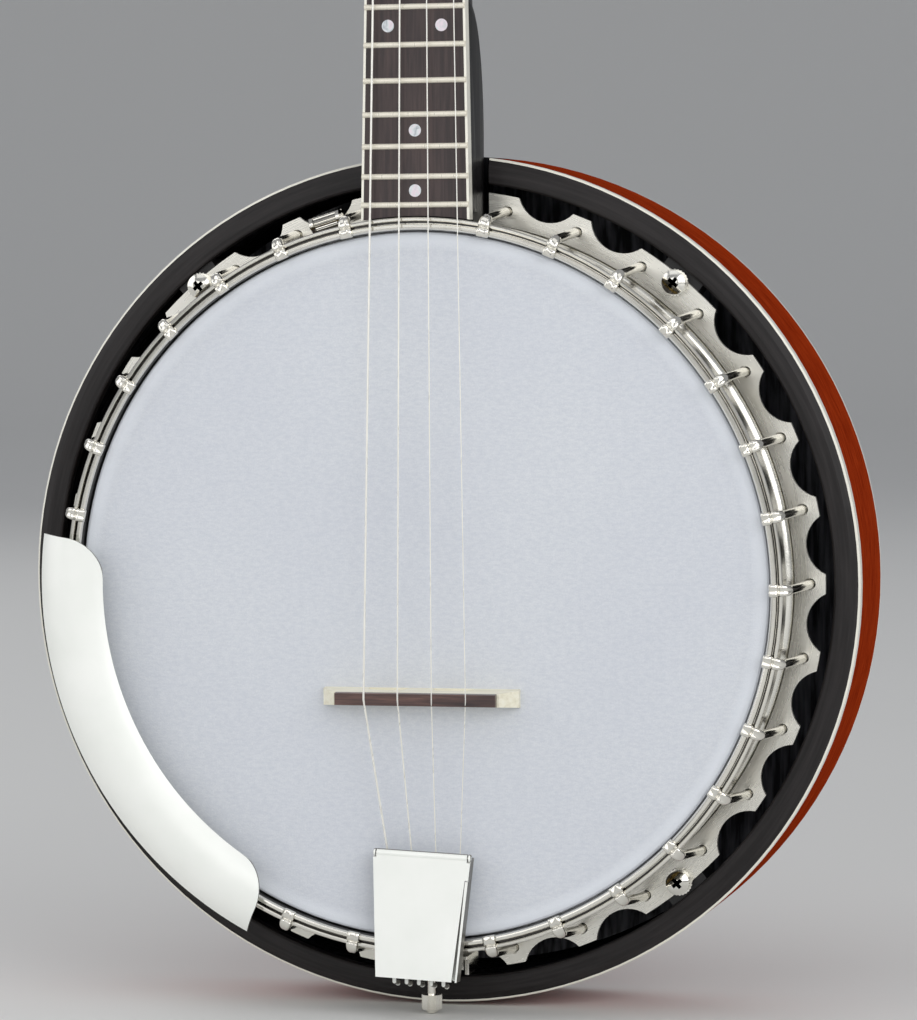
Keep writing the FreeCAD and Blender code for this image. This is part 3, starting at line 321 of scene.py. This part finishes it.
def frosted_head():
    """Frosted film: a fine sprayed grain, faint clouding and a painted highlight that makes the crown next to
    the hoop paler.
    """
    shade = Shade("frosted_head", srgb(214, 217, 223), 0.55, Specular_IOR_Level=0.35)
    _, radius = shade.round_pot()
    grain = shade.noise(1500, detail=3, roughness=0.65)
    cloudy = shade.noise(11, detail=3)
    film = shade.ramp(cloudy, (0.3, srgb(216, 219, 225)), (0.7, srgb(222, 225, 229)))
    film = shade.mixed(shade.spread(grain, 0.3, 0.7, 0.0, 0.3), film, srgb(176, 182, 194))
    pebble = shade.noise(620, shade.stretched((0.6, 1.0, 1.4)), detail=2)
    film = shade.mixed(shade.spread(pebble, 0.35, 0.7, 0.0, 0.3), film, srgb(184, 190, 202))
    # the crown next to the hoop is painted paler where it catches the light: painted highlight
    painted_crown_highlight = shade.spread(radius, CROWN_START, CROWN_END, 0.0, 0.8)
    film = shade.mixed(painted_crown_highlight, film, srgb(228, 232, 238))
    shade.to("Base Color", film)
    shade.to("Roughness", shade.spread(grain, 0.3, 0.7, 0.46, 0.64))
    shade.bump(grain, 0.4, 0.0003)
    return shade.material


def grained(name, dark, middle, light, along, pores, roughness, coat, source=None, strength=0.1):
    """Wood with long grain: along stretches the pattern, pores sets its fineness."""
    shade = Shade(name, middle, roughness, Coat_Weight=coat, Coat_Roughness=0.04)
    base = shade.round_pot()[0] if source == "round" else None
    lines = shade.noise(pores, shade.stretched(along, base), detail=5, roughness=0.65, distortion=0.3)
    softer = tuple(0.25 + 0.75 * a for a in along)
    broad = shade.noise(9, shade.stretched(softer, base), detail=3, distortion=1.2)
    pattern = shade.maths("ADD", shade.maths("MULTIPLY", lines, 0.6), shade.maths("MULTIPLY", broad, 0.4))
    shade.to("Base Color", shade.ramp(pattern, (0.36, dark), (0.5, middle), (0.64, light)))
    shade.to("Roughness", shade.spread(lines, 0.3, 0.7, roughness - 0.07, roughness + 0.08))
    shade.bump(lines, strength, 0.0002)
    return shade


def mahogany_wall():
    """Red mahogany outside, stained black inside, with the grain running round the wall."""
    shade = grained("mahogany_wall", srgb(126, 36, 12), srgb(158, 54, 20), srgb(176, 68, 30),
                    (0.12, 1.0, 1.0), 700, 0.5, 0.0, source="round")
    shade.set("Specular IOR Level", 0.0)
    outside = shade.shader.inputs["Base Color"].links[0].from_socket
    _, radius = shade.round_pot()
    streaks = shade.noise(380, shade.stretched((1.0, 1.0, 0.08)), detail=4)
    inside = shade.ramp(streaks, (0.4, srgb(14, 14, 16)), (0.75, srgb(58, 58, 62)))
    x, _, z = shade.split()
    beside_heel = shade.maths("GREATER_THAN", shade.maths("ABSOLUTE", x), HEEL_HALF)
    below_heel = shade.maths("LESS_THAN", z, POT_Z)
    clear = shade.maths("MAXIMUM", beside_heel, below_heel)
    shown = shade.maths("MULTIPLY", shade.maths("GREATER_THAN", radius, WALL_SKIN), clear)
    shade.to("Base Color", shade.mixed(shown, inside, outside))
    return shade.material


def mahogany_back():
    """Bookmatched mahogany outside; black stained wood with streaks inside."""
    shade = Shade("mahogany_back", srgb(150, 50, 18), 0.34, Coat_Weight=0.35, Coat_Roughness=0.05,
                  Specular_IOR_Level=0.2)
    x, y, z = shade.split()
    mirrored = shade.joined(shade.maths("ABSOLUTE", x), y, z)
    lines = shade.noise(260, shade.stretched((1.0, 1.0, 0.05), mirrored), detail=5, roughness=0.65,
                        distortion=0.35)
    flame = shade.noise(16, shade.stretched((1.0, 1.0, 0.35), mirrored), detail=4, distortion=2.2)
    pattern = shade.maths("ADD", shade.maths("MULTIPLY", lines, 0.5), shade.maths("MULTIPLY", flame, 0.5))
    outside = shade.ramp(pattern, (0.36, srgb(106, 30, 10)), (0.5, srgb(156, 54, 20)),
                         (0.66, srgb(186, 78, 34)))
    streaks = shade.noise(380, shade.stretched((1.0, 1.0, 0.08)), detail=4)
    inside = shade.ramp(streaks, (0.4, srgb(46, 46, 50)), (0.72, srgb(128, 128, 136)))
    backwards = shade.maths("GREATER_THAN", shade.facing(), -0.2)
    shade.to("Base Color", shade.mixed(backwards, inside, outside))
    shade.to("Roughness", shade.spread(lines, 0.3, 0.7, 0.24, 0.38))
    shade.bump(lines, 0.08, 0.0002)
    return shade.material


def black_finish(name, colour, roughness, coat, grain_scale, along, source=None, specular=0.25):
    """Black wood under clear lacquer, with its grain faintly showing."""
    shade = Shade(name, colour, roughness, Coat_Weight=coat, Coat_Roughness=0.03, Specular_IOR_Level=specular)
    base = shade.round_pot()[0] if source == "round" else None
    lines = shade.noise(grain_scale, shade.stretched(along, base), detail=4, roughness=0.6)
    lifted = tuple(min(1.0, c * 1.9 + 0.004) for c in colour)
    shade.to("Base Color", shade.ramp(lines, (0.4, colour), (0.72, lifted)))
    shade.to("Roughness", shade.spread(lines, 0.3, 0.7, roughness - 0.05, roughness + 0.08))
    shade.bump(lines, 0.06, 0.0002)
    return shade.material


def smooth_plastic(name, colour, roughness, grain_scale=60.0, contrast=0.92):
    """Moulded or celluloid surface with slow tone changes and a slight ripple."""
    shade = Shade(name, colour, roughness, Coat_Weight=0.3, Coat_Roughness=0.08)
    cloudy = shade.noise(grain_scale, detail=4)
    shade.to("Base Color", shade.ramp(cloudy, (0.3, tuple(c * contrast for c in colour)), (0.7, colour)))
    shade.to("Roughness", shade.spread(cloudy, 0.3, 0.7, roughness - 0.05, roughness + 0.06))
    shade.bump(shade.noise(300, detail=2), 0.05, 0.0002)
    return shade.material


def pearl_inlay(name, colour, scale):
    """Layered shell: shifting pale, cool and warm patches under gloss."""
    shade = Shade(name, colour, 0.2, Coat_Weight=0.5, Coat_Roughness=0.05)
    folded = shade.noise(scale, shade.stretched((1.0, 1.0, 0.6)), detail=3, distortion=2.5)
    layers = shade.ramp(folded, (0.28, srgb(150, 156, 166)), (0.45, srgb(214, 220, 222)),
                        (0.58, srgb(228, 214, 222)), (0.74, srgb(176, 196, 196)))
    shade.to("Base Color", layers)
    shade.to("Roughness", shade.spread(folded, 0.3, 0.7, 0.12, 0.28))
    shade.bump(folded, 0.04, 0.0002)
    return shade.material


def wire(name, colour, roughness):
    """Drawn wire: fine lengthwise lines."""
    shade = Shade(name, colour, roughness, metallic=0.35)
    lines = shade.noise(1800, shade.stretched((1.0, 1.0, 0.05)), detail=2)
    shade.to("Base Color", shade.ramp(lines, (0.3, tuple(c * 0.94 for c in colour)), (0.7, colour)))
    shade.to("Roughness", shade.spread(lines, 0.3, 0.7, roughness - 0.06, roughness + 0.1))
    shade.bump(lines, 0.04, 0.0001)
    return shade.material


NICKEL = plated("bright_nickel", srgb(236, 233, 224), 0.13)
SHEET = painted_highlight_sheet()
SLOTTED = slotted_nickel()
HOOP = hoop_plating()
TUBE = plated("tube_nickel", srgb(238, 236, 228), 0.24, wear=0.05)
FLANGE = satin_flange()
STEEL = plated("plain_steel", srgb(176, 176, 174), 0.3, wear=0.08)
BRASS = plated("ring_brass", srgb(205, 176, 110), 0.28, wear=0.08)
HEAD = frosted_head()
WALL = mahogany_wall()
BACK = mahogany_back()
RING = black_finish("black_ring", srgb(31, 28, 28), 0.5, 0.05, 500, (0.05, 1.0, 1.0), source="round")
LACQUER = black_finish("black_lacquer", srgb(12, 11, 12), 0.32, 0.03, 300, (1.0, 1.0, 0.05), specular=0.12)
BINDING = smooth_plastic("ivory_binding", srgb(246, 243, 230), 0.32)
BONE = smooth_plastic("bone", srgb(236, 229, 205), 0.35, grain_scale=260)
COVER = smooth_plastic("cover_plastic", srgb(24, 23, 24), 0.25, contrast=0.7)
PEARL = pearl_inlay("pearl", srgb(205, 207, 210), 140)
BUTTON = pearl_inlay("button_pearl", srgb(215, 215, 212), 90)
ROSEWOOD = grained("rosewood", srgb(28, 20, 20), srgb(48, 37, 37), srgb(72, 58, 56),
                   (1.0, 1.0, 0.03), 620, 0.5, 0.05, strength=0.25).material
# the maple rim gets near-black colours: painted shade, as it sits in shade inside the pot and so reflects
# dark in the plating
MAPLE_RIM = grained("rim_maple", srgb(30, 21, 18), srgb(42, 30, 25), srgb(56, 42, 35),
                    (0.05, 1.0, 1.0), 300, 0.4, 0.3, source="round").material
MAPLE = grained("bridge_maple", srgb(222, 216, 190), srgb(240, 235, 214), srgb(247, 244, 228),
                (0.06, 1.0, 1.0), 500, 0.5, 0.05).material
CAP = grained("bridge_cap_wood", srgb(34, 26, 26), srgb(74, 52, 48), srgb(120, 88, 78),
              (0.05, 1.0, 1.0), 600, 0.35, 0.3).material
LUG = grained("lug_wood", srgb(12, 11, 12), srgb(22, 20, 21), srgb(40, 36, 36),
              (0.1, 1.0, 1.0), 300, 0.5, 0.1).material
FRET = wire("fret_nickel_silver", srgb(240, 234, 218), 0.32)
STRING = wire("plain_string", srgb(242, 240, 232), 0.3)


def numbered(name):
    """Names of the four nodes of a piece that every string has one of."""
    return ["%s_%d" % (name, i) for i in range(1, 5)]


FINISHES = {
    NICKEL: ["bracket_hooks", "bracket_nuts", "tailpiece_hinge_pin", "tailpiece_bracket", "tailpiece_bolt",
             "tailpiece_screw", "tailpiece_nut", "small_screws", "armrest_brackets", "strap_bracket",
             "strap_screw", "tuner_cases", "tuner_bushings",
             *numbered("tuner_post"), *numbered("tuner_shaft")],
    SHEET: ["armrest_plate", "tailpiece_cover", "tailpiece_base"],
    HOOP: ["tension_hoop"],
    SLOTTED: ["resonator_screws"],
    TUBE: ["flange_tube"],
    FLANGE: ["flange"],
    STEEL: ["truss_rod", "hanger_bolts", "coordinator_rods", "flesh_hoop"],
    BRASS: ["tone_ring"],
    HEAD: ["drum_head"],
    WALL: ["resonator_side"],
    BACK: ["resonator_back"],
    RING: ["resonator_ring"],
    LACQUER: ["neck", "heel_cap", "headstock_veneer"],
    BINDING: ["front_binding", "rear_binding", "fingerboard_binding"],
    BONE: ["string_nut"],
    COVER: ["truss_rod_cover"],
    PEARL: ["fret_markers"],
    BUTTON: numbered("tuner_button"),
    ROSEWOOD: ["fingerboard"],
    MAPLE_RIM: ["rim"],
    MAPLE: ["bridge_base"],
    CAP: ["bridge_cap"],
    LUG: ["resonator_lugs"],
    FRET: ["frets"],
    STRING: numbered("string"),
}
for finish, names in FINISHES.items():
    for name in names:
        data = frame["nodes"][name].data
        data.materials.clear()
        data.materials.append(finish)


# ---------------------------------------------------------------- meshes
def mesh_piece(name, points, faces, material):
    data = bpy.data.meshes.new(name)
    data.from_pydata(points, [], faces)
    data.materials.append(material)
    shell = bmesh.new()
    shell.from_mesh(data)
    bmesh.ops.recalc_face_normals(shell, faces=shell.faces)
    shell.to_mesh(data)
    shell.free()
    for face in data.polygons:
        face.use_smooth = True
    made = bpy.data.objects.new(name, data)
    bpy.context.scene.collection.objects.link(made)
    return made


def add_loft(points, faces, rings):
    """Join rings of equal length into a closed tube and add it to a mesh's lists."""
    start = len(points)
    count = len(rings[0])
    for ring in rings:
        points.extend(ring)
    for i in range(len(rings) - 1):
        for j in range(count):
            a = start + i * count + j
            b = start + i * count + (j + 1) % count
            faces.append((a, b, b + count, a + count))
    faces.append(tuple(start + j for j in reversed(range(count))))
    last = start + (len(rings) - 1) * count
    faces.append(tuple(last + j for j in range(count)))


# ---------------------------------------------------------------- string windings
POST_RADIUS = 0.0030
WAIST_RADIUS = 0.0026
WINDING_OUT = 0.0075                         # in front of the headstock's face
ARRIVAL_GAP = 0.0003                         # between the post and the string that reaches it
WAIST_GAP = 0.00008
TURNS = 4.6
STEPS_A_TURN = 40
TURN_PITCH = 2.15                            # in radii of the string
WIRE_SIDES = 10
STRING_RADII = [0.00022, 0.00026, 0.00034, 0.00044]


def winding(number):
    """One level turn where the string arrives, then turns down the post."""
    joint = next(j for j in frame["joints"] if j["name"] == "post_%d_turn" % (number + 1))
    back = Vector(joint["axis"]).normalized()
    centre = Vector(joint["pos_m"]) - back * WINDING_OUT
    side = math.copysign(1.0, joint["pos_m"][0])
    inward = Vector((-side, 0.0, 0.0))
    upward = back.cross(Vector((1.0, 0.0, 0.0))).normalized()
    if upward.z < 0:
        upward = -upward
    radius = STRING_RADII[number]
    start = POST_RADIUS + ARRIVAL_GAP + radius
    snug = WAIST_RADIUS + radius + WAIST_GAP
    path = []
    for i in range(int(TURNS * STEPS_A_TURN) + 1):
        turned = i / STEPS_A_TURN
        angle = 2 * math.pi * turned
        closing = min(1.0, turned)
        reach = start + (snug - start) * closing * closing
        down = max(0.0, turned - 1.0) * radius * TURN_PITCH
        path.append(centre + inward * reach * math.cos(angle) + upward * reach * math.sin(angle)
                    + back * down)
    points = []
    faces = []
    rings = []
    for i, place in enumerate(path):
        ahead = path[min(i + 1, len(path) - 1)] - path[max(i - 1, 0)]
        outward = back.cross(ahead).normalized()
        across = ahead.cross(outward).normalized()
        rings.append([place + radius * (outward * math.cos(a) + across * math.sin(a))
                      for a in (2 * math.pi * j / WIRE_SIDES for j in range(WIRE_SIDES))])
    add_loft(points, faces, rings)
    made = mesh_piece("string_winding_%d" % (number + 1), points, faces, STRING)
    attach(made, "post_%d" % (number + 1))


for number in range(4):
    winding(number)


# ---------------------------------------------------------------- hooks
HOOK_STATIONS = [
    # radius, depth of the middle, half width, half height, groove, in millimetres
    (142.30, 2.10, 2.05, 0.95, 0.35), (142.42, 1.75, 2.45, 1.35, 0.75), (142.80, 1.62, 2.60, 1.52, 0.95),
    (144.40, 1.60, 2.65, 1.55, 0.95), (145.60, 1.62, 2.60, 1.52, 0.95), (146.00, 1.95, 2.35, 1.25, 0.80),
    (146.30, 2.45, 2.05, 0.90, 0.50), (146.62, 2.00, 2.35, 1.25, 0.75), (147.10, 1.72, 2.50, 1.60, 0.95),
    (147.40, 1.85, 2.50, 1.75, 0.95)]
BEND_CENTRE = (147.40, 4.95)                 # radius and depth
BEND_START = 3.10                            # from that centre to the middle of the claw's end
BEND_RADIUS = 2.35                           # and to the middle of the shaft
BEND_STEPS = 8
SHAFT_LEAN = math.radians(5.95)
SHAFT_RADIUS = 1.85
LEANING_REACHES = (1.5, 8.0, 16.0, 24.0, 27.6)       # behind the bend
STRAIGHT_DEPTHS = (34.5, 37.0, 44.0)
SECTION_SIDES = 36
CREASE = 0.0004                              # half width of the groove, in metres
SQUARED_GROOVE = 0.0006                      # sections with a groove this deep are fully squared


def hook_profile():
    """Stations (radius, depth, half width, half height, groove, tilt) along a hook, in metres and radians."""
    profile = [station + (0.0,) for station in HOOK_STATIONS]
    width, height, groove = HOOK_STATIONS[-1][2:]
    for i in range(1, BEND_STEPS + 1):
        share = i / BEND_STEPS
        turned = share * (math.pi / 2 - SHAFT_LEAN)
        drop = BEND_START + (BEND_RADIUS - BEND_START) * share
        profile.append((BEND_CENTRE[0] + drop * math.sin(turned), BEND_CENTRE[1] - drop * math.cos(turned),
                        width + (SHAFT_RADIUS - width) * share, height + (SHAFT_RADIUS - height) * share,
                        groove * (1 - share), turned))
    radius, depth = profile[-1][:2]
    for reach in LEANING_REACHES:
        profile.append((radius + reach * math.tan(SHAFT_LEAN), depth + reach, SHAFT_RADIUS, SHAFT_RADIUS, 0.0,
                        math.pi / 2 - SHAFT_LEAN))
    radius = profile[-1][0]
    for depth in STRAIGHT_DEPTHS:
        profile.append((radius, depth, SHAFT_RADIUS, SHAFT_RADIUS, 0.0, math.pi / 2))
    return [tuple(value / 1000 for value in station[:5]) + (station[5],) for station in profile]


def hook_ring(station, around):
    """One closed section of a hook: a soft-cornered bar with a groove along its front."""
    radius, depth, half_width, half_height, groove, tilt = station
    tangent = Vector((math.cos(around), 0.0, -math.sin(around)))
    outward = Vector((math.sin(around), 0.0, math.cos(around)))
    front = outward * math.sin(tilt) - Vector((0.0, math.cos(tilt), 0.0))
    square = 0.50 + 0.50 * (1.0 - min(1.0, groove / SQUARED_GROOVE))
    middle = outward * radius + Vector((0.0, CLAW_FRONT + depth, POT_Z))
    ring = []
    for j in range(SECTION_SIDES):
        angle = 2 * math.pi * j / SECTION_SIDES
        c, s = math.cos(angle), math.sin(angle)
        across = math.copysign(abs(c) ** square, c) * half_width
        lift = math.copysign(abs(s) ** square, s) * half_height
        if s > 0:
            lift -= groove * math.exp(-(across / CREASE) ** 2)
        ring.append(middle + tangent * across + front * lift)
    return ring


def hooks():
    points = []
    faces = []
    profile = hook_profile()
    for degrees in HOOK_ANGLES:
        add_loft(points, faces, [hook_ring(station, math.radians(degrees)) for station in profile])
    made = mesh_piece("grooved_hooks", points, faces, NICKEL)
    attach(made, "instrument")
    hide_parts("bracket_hooks")


hooks()


# ---------------------------------------------------------------- camera, light and floor
CAMERA_ROLL = math.radians(-0.55)
CAMERA_TARGET = Vector((0.01756, HEAD_FRONT - 0.006, POT_Z + 0.03117))
CAMERA_DISTANCE = 1.8
SENSOR_WIDTH = 36.0                          # millimetres, as the lens is
LENS = 159.51
FLAT_RADII = (2.0, 4.5, 6.0)                 # the floor is flat up to the last of these
SWEEP_RADIUS = 2.5
SWEEP_STEPS = 10
FLOOR_SIDES = 64


def direction(azimuth, elevation):
    """Where a camera or lamp stands, seen from the pot: azimuth turns from the front to the right."""
    a = math.radians(azimuth)
    e = math.radians(elevation)
    return Vector((math.sin(a) * math.cos(e), -math.cos(a) * math.cos(e), math.sin(e)))


def photo_camera():
    """The camera that the photograph's circles were fitted with."""
    back = direction(14.06, 3.36)
    right = (-back).cross(Vector((0, 0, 1))).normalized()
    up = right.cross(-back)
    across = right * math.cos(CAMERA_ROLL) + up * math.sin(CAMERA_ROLL)
    upward = up * math.cos(CAMERA_ROLL) - right * math.sin(CAMERA_ROLL)
    place = CAMERA_TARGET + back * CAMERA_DISTANCE
    data = bpy.data.cameras.new("photo_camera")
    data.sensor_width = SENSOR_WIDTH
    data.lens = LENS
    data.clip_start = 0.05
    data.clip_end = 60.0
    camera = bpy.data.objects.new("photo_camera", data)
    camera.matrix_world = Matrix((
        (across.x, upward.x, back.x, place.x),
        (across.y, upward.y, back.y, place.y),
        (across.z, upward.z, back.z, place.z),
        (0, 0, 0, 1)))
    bpy.context.scene.collection.objects.link(camera)
    bpy.context.scene.camera = camera


def soft_box(name, azimuth, elevation, distance, width, height, power):
    """A rectangular light that faces the pot."""
    back = direction(azimuth, elevation)
    data = bpy.data.lights.new(name, "AREA")
    data.shape = "RECTANGLE"
    data.size = width
    data.size_y = height
    data.energy = power
    lamp = bpy.data.objects.new(name, data)
    lamp.location = Vector((0, 0, POT_Z)) + back * distance
    lamp.rotation_mode = "QUATERNION"
    lamp.rotation_quaternion = (-back).to_track_quat("-Z", "Y")
    lamp.visible_camera = False
    bpy.context.scene.collection.objects.link(lamp)


def floor():
    """A wide pale sheet whose far edge curves up out of sight."""
    shade = Shade("pale_floor", srgb(234, 234, 232), 0.7, Specular_IOR_Level=0.2)
    shade.to("Roughness", shade.spread(shade.noise(3), 0.3, 0.7, 0.64, 0.76))
    points = [Vector((0, 0, FLOOR_Z))]
    faces = []
    profile = [(radius, 0.0) for radius in FLAT_RADII]
    for i in range(1, SWEEP_STEPS + 1):
        turned = math.radians(90 / SWEEP_STEPS * i)
        profile.append((FLAT_RADII[-1] + SWEEP_RADIUS * math.sin(turned),
                        SWEEP_RADIUS * (1 - math.cos(turned))))
    count = FLOOR_SIDES
    for radius, height in profile:
        for i in range(count):
            angle = 2 * math.pi * i / count
            points.append(Vector((radius * math.cos(angle), radius * math.sin(angle), FLOOR_Z + height)))
    for i in range(count):
        faces.append((0, 1 + i, 1 + (i + 1) % count))
    for ring in range(len(profile) - 1):
        for i in range(count):
            a = 1 + ring * count + i
            b = 1 + ring * count + (i + 1) % count
            faces.append((a, b, b + count, a + count))
    mesh_piece("floor", points, faces, shade.material)


def world():
    made = bpy.data.worlds.new("studio")
    made.use_nodes = True
    background = made.node_tree.nodes["Background"]
    background.inputs["Color"].default_value = (0.93, 0.95, 1.0, 1.0)
    background.inputs["Strength"].default_value = 0.35
    bpy.context.scene.world = made


photo_camera()
world()
floor()
# azimuth, elevation, distance, width, height and power of each
soft_box("front_light", -10, 17, 3.0, 3.2, 1.5, 18)
soft_box("left_light", -68, 22, 2.6, 1.8, 2.0, 14)
soft_box("right_light", 46, 20, 2.6, 2.0, 1.45, 25)
soft_box("top_light", 0, 62, 2.6, 2.4, 1.6, 8)
soft_box("rear_light", -150, 35, 3.0, 1.6, 1.6, 8)
bpy.context.scene.view_settings.view_transform = "Standard"
